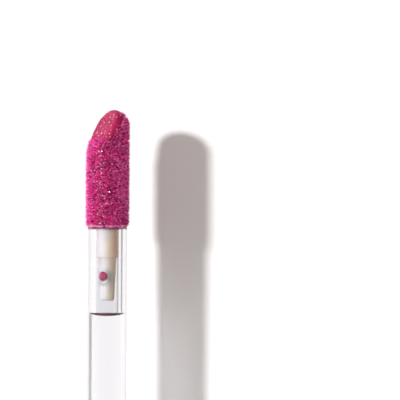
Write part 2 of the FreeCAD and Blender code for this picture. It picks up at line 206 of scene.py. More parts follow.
def turned_mesh(outline, closed=False, sides=SIDES):
    """Vertices and faces of an outline turned about the long axis."""
    on_axis = 1e-9
    verts, rings = [], []
    for radius, along in outline:
        if radius < on_axis:
            rings.append([len(verts)])
            verts.append((0, along, AXIS_Z))
            continue
        rings.append(list(range(len(verts), len(verts) + sides)))
        for side in range(sides):
            angle = 2 * math.pi * side / sides
            verts.append((radius * math.sin(angle), along, AXIS_Z + radius * math.cos(angle)))
    pairs = list(zip(rings, rings[1:]))
    if closed:
        pairs.append((rings[-1], rings[0]))
    faces = []
    for first, second in pairs:
        for side in range(sides):
            following = (side + 1) % sides
            if len(first) == 1:
                faces.append((first[0], second[side], second[following]))
            elif len(second) == 1:
                faces.append((first[side], second[0], first[following]))
            else:
                faces.append((first[side], second[side], second[following], first[following]))
    return verts, faces


def add_turned(name, outline, body, materials, closed=False, sides=SIDES):
    """A turned piece about the long axis."""
    verts, faces = turned_mesh(outline, closed, sides)
    piece = add_piece(name, verts, faces, body, materials)
    face_outwards(piece)
    smooth_piece(piece)
    return piece


def square_ring(half, radius):
    """Points round a square of rounded corners, as (x, z)."""
    steps = 10
    ring = []
    for quarter in range(4):
        middle = math.pi / 4 + quarter * math.pi / 2
        centre = (half - radius) * math.sqrt(2)
        for step in range(steps + 1):
            angle = quarter * math.pi / 2 + step / steps * math.pi / 2
            ring.append((centre * math.cos(middle) + radius * math.cos(angle),
                         centre * math.sin(middle) + radius * math.sin(angle)))
    return ring


def prism_mesh(stations):
    """A closed square form through stations of (y, inset from the tube's sides)."""
    least_corner = 0.3 * MM
    verts, faces, rings = [], [], []
    for along, inset in stations:
        ring = square_ring(HALF_WIDTH - inset, max(CORNER_RADIUS - inset, least_corner))
        rings.append(list(range(len(verts), len(verts) + len(ring))))
        verts += [(x, along, AXIS_Z + z) for x, z in ring]
    for first, second in zip(rings, rings[1:]):
        count = len(first)
        for side in range(count):
            following = (side + 1) % count
            faces.append((first[side], second[side], second[following], first[following]))
    faces.append(tuple(rings[0]))
    faces.append(tuple(reversed(rings[-1])))
    return verts, faces


def edge_stations(along, towards):
    """Stations of (y, inset) round an outside edge, from the flat end to the side."""
    steps = 5
    flat_margin = 0.3 * MM
    stations = [(along, EDGE_RADIUS + flat_margin)]
    for step in range(steps + 1):
        angle = math.pi / 2 * step / steps
        stations.append((along + towards * EDGE_RADIUS * (1 - math.cos(angle)),
                         EDGE_RADIUS * (1 - math.sin(angle))))
    return stations


# -------------------------------------------------------------------------------- material helpers

def new_material(name):
    """An empty node material and its tree."""
    material = bpy.data.materials.new(name)
    material.use_nodes = True
    material.node_tree.nodes.clear()
    return material, material.node_tree


def add_node(tree, kind, inputs=None, **settings):
    """A shader node: inputs are sockets to link or values to set."""
    node = tree.nodes.new(f"ShaderNode{kind}")
    for name, setting in settings.items():
        setattr(node, name, setting)
    for name, source in (inputs or {}).items():
        socket = node.inputs[name]
        if isinstance(source, bpy.types.NodeSocket):
            tree.links.new(source, socket)
        else:
            socket.default_value = source
    return node


def finish_material(tree, shader):
    """Send a shader to the surface."""
    add_node(tree, "OutputMaterial", {"Surface": shader.outputs[0]})


def grey(level):
    """The same value three times."""
    return (level, level, level)


def place(tree):
    """Object coordinates in millimetres."""
    coordinates = add_node(tree, "TexCoord")
    mapping = add_node(tree, "Mapping", {
        "Vector": coordinates.outputs["Object"], "Scale": grey(1.0 / MM),
    })
    return mapping.outputs[0]


def noise(tree, size, detail=2.0, roughness=0.5):
    """Noise whose lumps are about size millimetres."""
    return add_node(tree, "TexNoise", {
        "Vector": place(tree), "Scale": 1.0 / size, "Detail": detail, "Roughness": roughness,
    }).outputs["Fac"]


def ramp(tree, source, stops):
    """A colour ramp of (position, colour) stops."""
    node = add_node(tree, "ValToRGB", {"Fac": source})
    elements = node.color_ramp.elements
    while len(elements) < len(stops):
        elements.new(0.5)
    for element, (position, colour) in zip(elements, stops):
        element.position = position
        element.color = (*colour, 1.0)
    return node.outputs["Color"]


def spread(tree, source, lowest, highest):
    """A 0 to 1 value spread over a range."""
    return add_node(tree, "MapRange", {
        "Value": source, "To Min": lowest, "To Max": highest,
    }).outputs["Result"]


def bump(tree, height, strength, distance):
    """A bump normal; distance is in millimetres."""
    return add_node(tree, "Bump", {
        "Height": height, "Strength": strength, "Distance": distance * MM,
    }).outputs["Normal"]


# --------------------------------------------------------------------------------------- materials

def clear_plastic(name, tint, lamp_share):
    """Polished clear plastic; lamp_share is how much of a lamp's light each wall lets by."""
    material, tree = new_material(name)
    smudges = noise(tree, 2.5, 4.0)
    body = add_node(tree, "BsdfPrincipled", {
        "Base Color": (*tint, 1.0),
        "Roughness": spread(tree, smudges, 0.0, 0.05),
        "IOR": 1.57,
        "Transmission Weight": 1.0,
        "Normal": bump(tree, noise(tree, 6.0), 0.05, 0.02),
    })
    passing = add_node(tree, "BsdfTransparent", {"Color": (*grey(lamp_share), 1.0)})
    path = add_node(tree, "LightPath")
    mixed = add_node(tree, "MixShader", {0: path.outputs["Is Shadow Ray"]})
    tree.links.new(body.outputs[0], mixed.inputs[1])
    tree.links.new(passing.outputs[0], mixed.inputs[2])
    finish_material(tree, mixed)
    return material


def cream_elastomer():
    """Moulded cream elastomer, a little blotched, with painted shade across it: pale grey on its -X
    side, toward the key light, warming to tan on its +X side, away from it.
    """
    material, tree = new_material("cream_elastomer")
    blotches = noise(tree, 1.4, 4.0)
    # Painted shade: the tone is shifted by X, grey towards the key light on -X and tan on the shaded
    # +X side; the blotch noise adds random tone.
    across = add_node(tree, "SeparateXYZ", {"Vector": place(tree)}).outputs["X"]
    shifted = add_node(tree, "Math", {0: blotches, 1: 1.0, 2: across}, operation="MULTIPLY_ADD")
    painted_side_shade = add_node(tree, "MapRange", {"Value": shifted.outputs[0], "From Min": -0.8,
                                          "From Max": 1.8}).outputs["Result"]
    colour = ramp(tree, painted_side_shade, [(0.0, (0.68, 0.63, 0.66)), (0.45, (0.90, 0.84, 0.81)),
                                  (0.7, (1.0, 0.76, 0.58)), (0.95, (1.0, 0.64, 0.42))])
    grain = noise(tree, 0.12, 3.0)
    finish_material(tree, add_node(tree, "BsdfPrincipled", {
        "Base Color": colour,
        "Roughness": spread(tree, blotches, 0.32, 0.6),
        "Subsurface Weight": 0.9,
        "Subsurface Radius": (1.0, 0.8, 0.65),
        "Subsurface Scale": 1.3 * MM,
        "Normal": bump(tree, grain, 0.25, 0.02),
    }))
    return material


def flock_material(name, dark, middle, pale):
    """Nylon flock wet with gloss; the attribute 'shade' holds each fibre's own tone, with painted
    shade darkening its root and painted light brightening its end.
    """
    material, tree = new_material(name)
    shade = add_node(tree, "Attribute", attribute_name="shade").outputs["Fac"]
    clumps = noise(tree, 0.45, 3.0)
    mixed = add_node(tree, "Mix", {"Factor": 0.25, "A": shade, "B": clumps}).outputs["Result"]
    colour = ramp(tree, mixed, [(0.22, dark), (0.42, middle), (0.8, pale)])
    finish_material(tree, add_node(tree, "BsdfPrincipled", {
        "Base Color": colour,
        "Roughness": spread(tree, clumps, 0.3, 0.6),
        "Subsurface Weight": 0.2,
        "Subsurface Radius": (1.0, 0.3, 0.5),
        "Subsurface Scale": 0.3 * MM,
        "Specular IOR Level": 0.3,
        "Sheen Weight": 0.1,
        "Sheen Roughness": 0.4,
        "Sheen Tint": (0.95, 0.70, 0.95, 1.0),
    }))
    return material


def glitter_material():
    """Foil flakes; each flake's tint is in the attribute 'tint'."""
    material, tree = new_material("glitter")
    tint = add_node(tree, "Attribute", attribute_name="tint").outputs["Color"]
    finish_material(tree, add_node(tree, "BsdfPrincipled", {
        "Base Color": tint,
        "Metallic": 0.2,
        "Roughness": spread(tree, noise(tree, 0.08), 0.15, 0.35),
    }))
    return material


def gel_material(name, deep, bright, coat, fleck_start=0.82, specular=0.5):
    """Glossy gel with fine glitter in it; a higher fleck_start leaves fewer flecks."""
    fleck_tint = (0.93, 0.62, 0.74, 1.0)
    material, tree = new_material(name)
    cloud = noise(tree, 1.8, 3.0)
    colour = ramp(tree, cloud, [(0.3, deep), (0.7, bright)])
    cells = add_node(tree, "TexVoronoi", {"Vector": place(tree), "Scale": 9.0, "Randomness": 1.0})
    glints = add_node(tree, "SeparateColor", {"Color": cells.outputs["Color"]}).outputs["Red"]
    fleck = ramp(tree, glints, [(fleck_start, grey(0.0)), (fleck_start + 0.02, grey(1.0))])
    shown = add_node(tree, "Mix", {"Factor": fleck, "A": colour, "B": fleck_tint},
                     data_type="RGBA")
    finish_material(tree, add_node(tree, "BsdfPrincipled", {
        "Base Color": shown.outputs["Result"],
        "Metallic": spread(tree, fleck, 0.0, 0.6),
        "Roughness": spread(tree, cloud, 0.12, 0.3),
        "Specular IOR Level": specular,
        "Subsurface Weight": 0.3,
        "Subsurface Radius": (1.0, 0.25, 0.45),
        "Subsurface Scale": 0.6 * MM,
        "Coat Weight": coat,
        "Coat Roughness": 0.03,
        "Normal": bump(tree, cells.outputs["Distance"], 0.35, 0.05),
    }))
    return material


def pearl_plastic():
    """Polished pearl plastic of the cap, with faint mould flow and rub marks."""
    material, tree = new_material("pearl_plastic")
    flow = add_node(tree, "TexNoise", {"Vector": place(tree), "Scale": 0.05, "Detail": 3.0,
                                       "Distortion": 1.0}).outputs["Fac"]
    colour = ramp(tree, flow, [(0.3, (0.70, 0.36, 0.44)), (0.7, (0.76, 0.41, 0.49))])
    rubs = noise(tree, 1.5, 6.0, 0.7)
    finish_material(tree, add_node(tree, "BsdfPrincipled", {
        "Base Color": colour,
        "Metallic": 0.45,
        "Roughness": spread(tree, rubs, 0.22, 0.32),
        "Coat Weight": 1.0,
        "Coat Roughness": 0.03,
        "Normal": bump(tree, noise(tree, 4.0, 2.0), 0.1, 0.02),
    }))
    return material


def moulded_plastic(name, colour, darker, roughness, grain_size, subsurface):
    """Plain moulded plastic with a faint grain."""
    material, tree = new_material(name)
    patches = noise(tree, 3.0, 3.0)
    finish_material(tree, add_node(tree, "BsdfPrincipled", {
        "Base Color": ramp(tree, patches, [(0.3, darker), (0.7, colour)]),
        "Roughness": spread(tree, patches, roughness - 0.08, roughness + 0.08),
        "Subsurface Weight": subsurface,
        "Subsurface Radius": grey(1.0),
        "Subsurface Scale": 0.5 * MM,
        "Normal": bump(tree, noise(tree, grain_size, 2.0), 0.2, 0.02),
    }))
    return material


def turned_steel():
    """Steel with fine turning marks round the axis."""
    material, tree = new_material("turned_steel")
    rings = add_node(tree, "TexWave", {"Vector": place(tree), "Scale": 1.6, "Distortion": 1.0,
                                       "Detail": 2.0}, wave_type="BANDS", bands_direction="Y")
    finish_material(tree, add_node(tree, "BsdfPrincipled", {
        "Base Color": ramp(tree, rings.outputs["Fac"], [(0.0, grey(0.42)), (1.0, grey(0.62))]),
        "Metallic": 1.0,
        "Roughness": spread(tree, rings.outputs["Fac"], 0.22, 0.4),
        "Normal": bump(tree, rings.outputs["Fac"], 0.1, 0.02),
    }))
    return material


WAND_TINT = (0.85, 0.86, 0.885)
WAND_CLEAR = clear_plastic("wand_clear", WAND_TINT, 0.1)
SLEEVE_CLEAR = clear_plastic("sleeve_clear", WAND_TINT, 0.17)
BORE_CLEAR = clear_plastic("bore_clear", WAND_TINT, 0.95)
VIAL_CLEAR = clear_plastic("vial_clear", (0.94, 0.93, 0.94), 0.8)
CREAM = cream_elastomer()
# The mat's colours are darker than the fibres': the foot's own magenta with painted shade in the gaps
# between fibres.
FLOCK_MAT = flock_material("flock_mat", (0.24, 0.002, 0.06), (0.44, 0.003, 0.14),
                           (0.66, 0.01, 0.26))
FLOCK_FIBRE = flock_material("flock_fibre", (0.17, 0.002, 0.06), (1.0, 0.006, 0.37),
                             (1.0, 0.36, 0.78))
GLITTER = glitter_material()
GEL = gel_material("gloss_gel", (0.42, 0.02, 0.13), (0.62, 0.08, 0.26), 0.6)
BEAD_GEL = gel_material("bead_gel", (0.40, 0.001, 0.07), (0.55, 0.006, 0.13), 0.2, 0.96, 0.3)
DARK_BORE_GEL = gel_material("dark_bore_gel", (0.14, 0.02, 0.05), (0.24, 0.04, 0.09), 0.0, 0.98, 0.2)
WET_FACE = gel_material("wet_face", (0.27, 0.008, 0.055), (0.38, 0.018, 0.085), 0.0, 0.965, 0.03)
PEARL = pearl_plastic()
LINER = moulded_plastic("liner_plastic", (0.86, 0.85, 0.85), (0.80, 0.79, 0.79), 0.4, 0.3, 0.1)
WIPER_PLASTIC = moulded_plastic("wiper_plastic", (0.84, 0.83, 0.80), (0.76, 0.75, 0.72), 0.35,
                                0.4, 0.3)
FOAM = moulded_plastic("washer_foam", (0.84, 0.84, 0.82), (0.70, 0.70, 0.68), 0.7, 0.12, 0.1)
STEEL = turned_steel()


# --------------------------------------------------------------------------------- wand and its tip

def make_stem():
    """Clear wand with its head and the blind bore that the plug stands in."""
    sleeve_start_y = BORE_END_Y - 0.3 * MM
    outline = rounded([
        (0, HEAD_Y),
        (HEAD_RADIUS, HEAD_Y, 0.2 * MM),
        (HEAD_RADIUS, FLANGE_NEAR_Y),
        (FLANGE_RADIUS, FLANGE_NEAR_Y, 0.1 * MM),
        (FLANGE_RADIUS, FLANGE_FAR_Y, 0.1 * MM),
        (STEM_RADIUS, FLANGE_FAR_Y),
        (STEM_RADIUS, sleeve_start_y),
        (STEM_RADIUS, RIM_Y, 0.12 * MM),
        (BORE_RADIUS, RIM_Y, 0.05 * MM),
    ])
    outline.append((BORE_RADIUS, BORE_END_Y))
    dish_steps = 8
    for step in range(1, dish_steps):
        angle = step / dish_steps * math.pi / 2
        outline.append((BORE_RADIUS * math.cos(angle), BORE_END_Y - BORE_DISH * math.sin(angle)))
    outline.append((0, BORE_END_Y - BORE_DISH))
    stem = add_turned("stem", outline, "cap", [WAND_CLEAR, SLEEVE_CLEAR, BORE_CLEAR])
    sleeve, bore = 1, 2
    inside_radius = BORE_RADIUS + 0.1 * MM
    for face in stem.data.polygons:
        from_axis = math.hypot(face.center.x, face.center.z - AXIS_Z)
        if face.center.y > BORE_END_Y - BORE_DISH:
            face.material_index = sleeve if from_axis > inside_radius else bore
    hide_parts("wand")


def make_plug():
    """Plug and tail of the tip, standing in the wand's bore, with the tail's cross hole."""
    tail_y = RIM_Y - TAIL_LENGTH
    step_y = RIM_Y - PLUG_LENGTH
    root_y = RIM_Y + 1 * MM
    outline = rounded([
        (0, tail_y),
        (TAIL_END_RADIUS, tail_y, 0.25 * MM),
        (TAIL_RADIUS, step_y, 0.04 * MM),
        (PLUG_RADIUS, step_y, 0.12 * MM),
        (PLUG_RADIUS, RIM_Y),
        (PLUG_RADIUS, root_y),
        (0, root_y),
    ])
    plug = add_turned("tip_plug", outline, "cap", [CREAM], sides=96)
    cutter = hole_form("hole_cutter", HOLE_RADIUS, reach=3 * MM, dome=0)
    cut = plug.modifiers.new("hole", "BOOLEAN")
    cut.operation = "DIFFERENCE"
    cut.object = cutter
    apply_modifiers(plug)
    bpy.data.objects.remove(cutter)
    smooth_piece(plug)
    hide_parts("tip_core")


def hole_frame():
    """Middle of the cross hole, with the directions out of it, across it and along the wand."""
    centre = Vector((0, HOLE_Y, AXIS_Z))
    outwards = Vector((-math.sin(HOLE_TURN), 0, math.cos(HOLE_TURN)))
    across = Vector((math.cos(HOLE_TURN), 0, math.sin(HOLE_TURN)))
    along = Vector((0, 1, 0))
    return centre, outwards, across, along


def hole_form(name, radius, reach, dome):
    """A cylinder along the cross hole, with ends that dome out.

    The profile's points are (share of the radius, share of the dome).
    """
    sides, least_share, verts, faces = 48, 0.01, [], []
    centre, outwards, across, along = hole_frame()
    profile = [(0.0, 1.0), (0.5, 0.85), (0.85, 0.45), (1.0, 0.0)]
    near = [(share, reach + dome * height) for share, height in profile]
    levels = near + [(share, -level) for share, level in reversed(near)]
    for share, level in levels:
        for side in range(sides):
            angle = 2 * math.pi * side / sides
            spoke = across * math.cos(angle) + along * math.sin(angle)
            verts.append(centre + outwards * level + spoke * max(share, least_share) * radius)
    for ring in range(len(levels) - 1):
        for side in range(sides):
            following = (side + 1) % sides
            faces.append((ring * sides + side, ring * sides + following,
                          (ring + 1) * sides + following, (ring + 1) * sides + side))
    faces.append(tuple(range(sides)))
    faces.append(tuple((len(levels) - 1) * sides + side for side in range(sides)))
    return loose_form(name, verts, faces)


def make_bead():
    """Gloss caught in the cross hole, swelling to a drop at each end."""
    radius, reach, drop = HOLE_RADIUS * 0.98, TAIL_END_RADIUS * 0.9, 0.34 * MM
    bead = hole_form("bead", radius, reach, drop)
    bead.data.materials.append(BEAD_GEL)
    bead.data.shade_smooth()
    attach(bead, "cap")
    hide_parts("gloss_bead")


def make_hole_lip():
    """Rounded lip moulded round the near end of the cross hole, following the tail."""
    turns, rounds, verts, faces = 64, 12, [], []
    centre, outwards, across, along = hole_frame()
    wide, tall, thickness, tail_radius = 0.76 * MM, 1.05 * MM, 0.06 * MM, 0.96 * MM
    for turn in range(turns):
        angle = 2 * math.pi * turn / turns
        spoke = across * math.cos(angle) + along * math.sin(angle)
        height = math.sqrt(tail_radius ** 2 - (wide * math.cos(angle)) ** 2)
        middle = (centre + across * wide * math.cos(angle) + along * tall * math.sin(angle)
                  + outwards * height)
        for step in range(rounds):
            tilt = 2 * math.pi * step / rounds
            verts.append(middle + spoke * thickness * math.cos(tilt)
                         + outwards * thickness * math.sin(tilt))
            after, beside = (turn + 1) % turns * rounds, (step + 1) % rounds
            faces.append((turn * rounds + step, turn * rounds + beside, after + beside,
                          after + step))
    lip = add_piece("hole_lip", verts, faces, "cap", [CREAM])
    face_outwards(lip)


def make_bore_gloss():
    """A thin film of dark pink gel lying in the dished end of the bore, just proud of the dish."""
    start, steps, proud, sag = math.radians(16), 8, 1.02, 0.7
    outline = [(0, BORE_END_Y - sag * BORE_DISH)]
    for step in range(steps):
        angle = start + (math.pi / 2 - start) * step / steps
        outline.append((proud * BORE_RADIUS * math.cos(angle),
                        BORE_END_Y - proud * BORE_DISH * math.sin(angle)))
    outline.append((0, BORE_END_Y - proud * BORE_DISH))
    add_turned("bore_gloss", outline, "cap", [DARK_BORE_GEL], sides=96)


def foot_form(name, shrink):
    """The doe foot: a domed bar with a slanted face, its edges softened."""
    radius = FOOT_RADIUS - shrink
    top = TIP_Y - shrink
    dome = FOOT_DOME - shrink / 2
    heel = 0.25 * MM
    outline = rounded([(0, RIM_Y), (radius, RIM_Y, heel), (radius, top, dome), (0, top)], steps=12)
    verts, faces = turned_mesh(outline, sides=96)
    shape = bmesh.new()
    made = [shape.verts.new(v) for v in verts]
    for face in faces:
        shape.faces.new([made[index] for index in face])
    bmesh.ops.recalc_face_normals(shape, faces=shape.faces)
    side = Vector((-math.sin(FACE_TURN), 0, math.cos(FACE_TURN)))
    normal = side * math.cos(FACE_ANGLE) + Vector((0, 1, 0)) * math.sin(FACE_ANGLE)
    through = Vector((0, TIP_Y - FACE_DROP, AXIS_Z)) - normal * shrink
    cut = bmesh.ops.bisect_plane(shape, geom=shape.verts[:] + shape.edges[:] + shape.faces[:],
                                 plane_co=through, plane_no=normal, clear_outer=True)
    edges = [item for item in cut["geom_cut"] if isinstance(item, bmesh.types.BMEdge)]
    bmesh.ops.holes_fill(shape, edges=edges)
    mesh = bpy.data.meshes.new(name)
    shape.to_mesh(mesh)
    shape.free()
    form = bpy.data.objects.new(name, mesh)
    bpy.context.scene.collection.objects.link(form)
    remesh = form.modifiers.new("remesh", "REMESH")
    remesh.mode = "VOXEL"
    remesh.voxel_size = 0.1 * MM
    soften = form.modifiers.new("soften", "SMOOTH")
    soften.factor = 0.5
    soften.iterations = 12
    apply_modifiers(form)
    return form, (normal, through)


def mesh_arrays(mesh):
    """Vertex places, vertex normals and triangles of a mesh, as arrays."""
    count = len(mesh.vertices)
    places = np.empty(count * 3)
    mesh.vertices.foreach_get("co", places)
    normals = np.empty(count * 3)
    mesh.vertices.foreach_get("normal", normals)
    mesh.calc_loop_triangles()
    triangles = np.empty(len(mesh.loop_triangles) * 3, dtype=np.int32)
    mesh.loop_triangles.foreach_get("vertices", triangles)
    return places.reshape(-1, 3), normals.reshape(-1, 3), triangles.reshape(-1, 3)


def unit(vectors):
    """Vectors scaled to length 1."""
    return vectors / np.maximum(np.linalg.norm(vectors, axis=1, keepdims=True), 1e-12)


def scatter(mesh, count, rng):
    """Random points on a mesh with their normals."""
    places, normals, triangles = mesh_arrays(mesh)
    corners = places[triangles]
    areas = np.linalg.norm(np.cross(corners[:, 1] - corners[:, 0], corners[:, 2] - corners[:, 0]),
                           axis=1)
    chosen = rng.choice(len(triangles), size=count, p=areas / areas.sum())
    weights = rng.dirichlet((1, 1, 1), size=count)[:, :, None]
    points = (corners[chosen] * weights).sum(axis=1)
    facing = unit((normals[triangles[chosen]] * weights).sum(axis=1))
    return points, facing


def tangents(normals):
    """Two directions square to each normal."""
    helper = np.where(np.abs(normals[:, 1:2]) < 0.9, [[0.0, 1.0, 0.0]], [[1.0, 0.0, 0.0]])
    first = unit(np.cross(normals, helper))
    return first, np.cross(normals, first)


def film_share(places, face):
    """How much of the gloss film a point carries: 1 on the slanted face, 0 further round.

    The distances are in millimetres: the film runs a little round the face's edge, and ends
    short of the face's lower end.
    """
    round_edge, edge_fade, film_length, end_fade = 0.95, 0.6, 4.0, 1.2
    normal, point = (np.array(vector) for vector in face)
    millimetres = (places - point) / MM
    ragged = 0.10 * np.sin(millimetres[:, 1] * 2.9 + 1.0) + 0.07 * np.sin(millimetres[:, 0] * 6.1)
    on_face = np.clip(((millimetres @ normal) + round_edge + ragged) / edge_fade, 0, 1)
    past_tip = (places[:, 1] - TIP_Y) / MM
    near_tip = np.clip((past_tip + film_length + 3 * ragged) / end_fade, 0, 1)
    share = on_face * near_tip
    return share * share * (3 - 2 * share)


def add_flock(form, face, tufts, fibres, rng):
    """Fibres standing on the doe foot, drawn together in tufts by the gloss.

    drawn is how far a fibre's end is pulled to its tuft's, and flattened how much of its
    length the gloss film takes. Lengths are in millimetres until MM scales them. A fibre is a
    spike: its base corners, then its end.
    """
    shortest, longest, tuft_spread = 0.26, 0.52, 0.06
    thinnest, thickest, root_sink = 0.022, 0.04, 0.04
    swirl_lean, tuft_scatter, fibre_scatter, drawn, flattened = 0.25, 0.15, 0.2, 0.55, 0.6
    tuft_shade, root_shade, end_light = 0.65, 0.55, 1.15
    base = 3
    centres, facing = scatter(form.data, tufts, rng)
    first, second = tangents(facing)
    phase = centres / MM
    swirl = (2.1 * np.sin(2.3 * phase[:, 1] + 3.1 * phase[:, 0])
             + 1.9 * np.sin(3.7 * phase[:, 2] - 2.9 * phase[:, 1]))
    lean = (first * np.cos(swirl)[:, None] + second * np.sin(swirl)[:, None]) * swirl_lean
    tuft_length = rng.uniform(shortest, longest, tufts)[:, None] * MM
    ends = centres + unit(facing + lean + rng.normal(0, tuft_scatter, (tufts, 3))) * tuft_length
    owner = np.repeat(np.arange(tufts), fibres)
    count = tufts * fibres
    offset = (first[owner] * rng.normal(0, tuft_spread, count)[:, None]
              + second[owner] * rng.normal(0, tuft_spread, count)[:, None]) * MM
    roots = centres[owner] + offset
    normals = facing[owner]
    free = roots + unit(normals + rng.normal(0, fibre_scatter, (count, 3))) * tuft_length[owner]
    tips = free * (1 - drawn) + ends[owner] * drawn
    film = film_share(roots, face)[:, None]
    direction = unit(tips - roots)
    length = np.linalg.norm(tips - roots, axis=1, keepdims=True) * (1 - flattened * film)
    width = rng.uniform(thinnest, thickest, count)[:, None] * MM
    base_a, base_b = tangents(direction)
    verts = np.empty((count, base + 1, 3))
    for corner in range(base):
        angle = 2 * math.pi * corner / base
        spoke = base_a * math.cos(angle) + base_b * math.sin(angle)
        verts[:, corner] = roots - normals * root_sink * MM + spoke * width
    verts[:, base] = roots + direction * length
    start = np.arange(count)[:, None] * (base + 1)
    faces = np.concatenate([start + [corner, (corner + 1) % base, base] for corner in range(base)])
    flock = add_piece("flock_fibres", verts.reshape(-1, 3), faces, "cap", [FLOCK_FIBRE],
                      smooth=False)
    shade = flock.data.attributes.new("shade", "FLOAT", "POINT")
    own = rng.random(tufts)[owner] * tuft_shade + rng.random(count) * (1 - tuft_shade)
    # Painted light and shade on each fibre: its base corners are darker, painted shade down in the
    # pile, and its end lighter, painted light on the fibre ends.
    along = own[:, None] * np.array([root_shade] * base + [end_light])
    shade.data.foreach_set("value", along.reshape(-1))


def add_film(form, face):
    """Gloss filmed over the slanted face: it sinks into the flock round the side.

    The heights are in millimetres, and the ripple's waves in radians to the metre.
    """
    lift, ripple_height, sink = 0.30, 0.03, 0.12
    film = form.copy()
    film.data = form.data.copy()
    film.name = "face_gloss"
    bpy.context.scene.collection.objects.link(film)
    film.data.materials.clear()
    film.data.materials.append(WET_FACE)
    places, normals, _ = mesh_arrays(film.data)
    share = film_share(places, face)[:, None]
    ripple = np.sin(places[:, :1] * 2100 + places[:, 1:2] * 900) * np.sin(places[:, 1:2] * 2900)
    moved = places + normals * (share * (lift + ripple_height * ripple) - sink) * MM
    film.data.vertices.foreach_set("co", moved.reshape(-1))
    film.data.update()
    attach(film, "cap")


def add_rim_gloss(rng):
    """A thin ragged band of gloss pushed down from the flock over the wand's rim.

    The section's points are (share of the reach, how proud in millimetres).
    """
    sides = 240
    middle_reach, least_reach, under_flock, sink = 0.34, 0.1, 0.12, 0.01
    section = [(0.0, 0.0), (0.0, 0.04), (0.55, 0.05), (1.0, 0.0)]
    points = len(section)
    wave_count, last_phase = 9, 6.28
    waves = [(rng.integers(3, 34), rng.uniform(0, last_phase), rng.uniform(0.01, 0.05))
             for _ in range(wave_count)]
    verts, faces = [], []
    for side in range(sides):
        angle = 2 * math.pi * side / sides
        wave = sum(size * math.sin(count * angle + phase) for count, phase, size in waves)
        reach = max(middle_reach + wave, least_reach)
        for along, proud in section:
            radius = STEM_RADIUS + (proud - sink) * MM
            verts.append((radius * math.sin(angle), RIM_Y + (under_flock - reach * along) * MM,
                          AXIS_Z + radius * math.cos(angle)))
        start, following = side * points, (side + 1) % sides * points
        for point in range(points):
            after = (point + 1) % points
            faces.append((start + point, start + after, following + after, following + point))
    band = add_piece("rim_gloss", verts, faces, "cap", [GEL])
    face_outwards(band)


def add_flakes(name, points, normals, sizes, tilt, body, rng):
    """Glitter: six-sided foil flakes, each tilted its own way."""
    count, sides = len(points), 6
    first, second = tangents(normals)
    facing = unit(normals + first * rng.normal(0, tilt, count)[:, None]
                  + second * rng.normal(0, tilt, count)[:, None])
    base_a, base_b = tangents(facing)
    verts = np.empty((count, sides, 3))
    for corner in range(sides):
        angle = 2 * math.pi * corner / sides
        spoke = base_a * math.cos(angle) + base_b * math.sin(angle)
        verts[:, corner] = points + spoke * sizes[:, None]
    faces = np.arange(count * sides).reshape(-1, sides)
    flakes = add_piece(name, verts.reshape(-1, 3), faces, body, [GLITTER], smooth=False)
    palette = np.array([(0.98, 0.62, 0.80), (0.96, 0.34, 0.62), (0.95, 0.20, 0.50),
                        (0.99, 0.92, 0.96), (0.94, 0.26, 0.60)])
    tints = palette[rng.integers(0, len(palette), count)]
    colours = np.ones((count, sides, 4))
    colours[:, :, :3] = tints[:, None, :]
    tint = flakes.data.attributes.new("tint", "FLOAT_COLOR", "POINT")
    tint.data.foreach_set("color", colours.reshape(-1))


def make_tip():
    """Flocked doe foot, wet with gloss and glitter; the film hides most of its own flakes."""
    tufts, fibres_each, flakes, hidden = 10500, 5, 3000, 0.8
    nearest, furthest, smallest, size_range, small_bias = 0.16, 0.36, 0.018, 0.05, 2.5
    rng = np.random.default_rng(7)
    form, face = foot_form("flock_mat", shrink=0.05 * MM)
    form.data.materials.append(FLOCK_MAT)
    form.data.shade_smooth()
    shade = form.data.attributes.new("shade", "FLOAT", "POINT")
    shade.data.foreach_set("value", rng.random(len(form.data.vertices)))
    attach(form, "cap")
    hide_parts("flocking")
    add_flock(form, face, tufts, fibres_each, rng)
    add_film(form, face)
    add_rim_gloss(rng)
    points, normals = scatter(form.data, flakes, rng)
    kept = rng.random(len(points)) > hidden * film_share(points, face)
    points, normals = points[kept], normals[kept]
    lifted = points + normals * rng.uniform(nearest, furthest, len(points))[:, None] * MM
    sizes = (smallest + size_range * rng.random(len(points)) ** small_bias) * MM
    add_flakes("tip_glitter", lifted, normals, sizes, 0.5, "cap", rng)


# --------------------------------------------------------------------------------------------- vial

def add_boolean(piece, other, operation):
    """Join or cut a piece with another form, which is used up, then weld what is left."""
    weld, sliver = 0.002 * MM, 0.0005 * MM
    change = piece.modifiers.new(operation.lower(), "BOOLEAN")
    change.operation = operation
    change.object = other
    apply_modifiers(piece)
    bpy.data.objects.remove(other)
    shape = bmesh.new()
    shape.from_mesh(piece.data)
    bmesh.ops.remove_doubles(shape, verts=shape.verts, dist=weld)
    bmesh.ops.dissolve_degenerate(shape, edges=shape.edges, dist=sliver)
    shape.to_mesh(piece.data)
    shape.free()


def thread_form():
    """The neck's right-hand thread ridge, whose ends run out."""
    steps, sides, run_out_rate, least_height = 96, 4, 8, 0.02
    root, half_root, half_crest = NECK_RADIUS - 0.3 * MM, 0.62 * MM, 0.3 * MM
    verts, faces = [], []
    for step in range(steps + 1):
        share = step / steps
        angle = 2 * math.pi * THREAD_TURNS * share
        height = max(min(1.0, share * run_out_rate, (1 - share) * run_out_rate), least_height)
        top = NECK_RADIUS + THREAD_HEIGHT * height
        middle = THREAD_START_Y + THREAD_PITCH * THREAD_TURNS * share
        for radius, offset in ((root, -half_root), (top, -half_crest), (top, half_crest),
                               (root, half_root)):
            verts.append((radius * math.cos(angle), middle + offset,
                          AXIS_Z - radius * math.sin(angle)))
        if step:
            start, end = len(verts) - 2 * sides, len(verts) - sides
            for side in range(sides):
                following = (side + 1) % sides
                faces.append((start + side, start + following, end + following, end + side))
    faces.append(tuple(range(sides)))
    faces.append(tuple(reversed(range(len(verts) - sides, len(verts)))))
    return loose_form("thread", verts, faces)


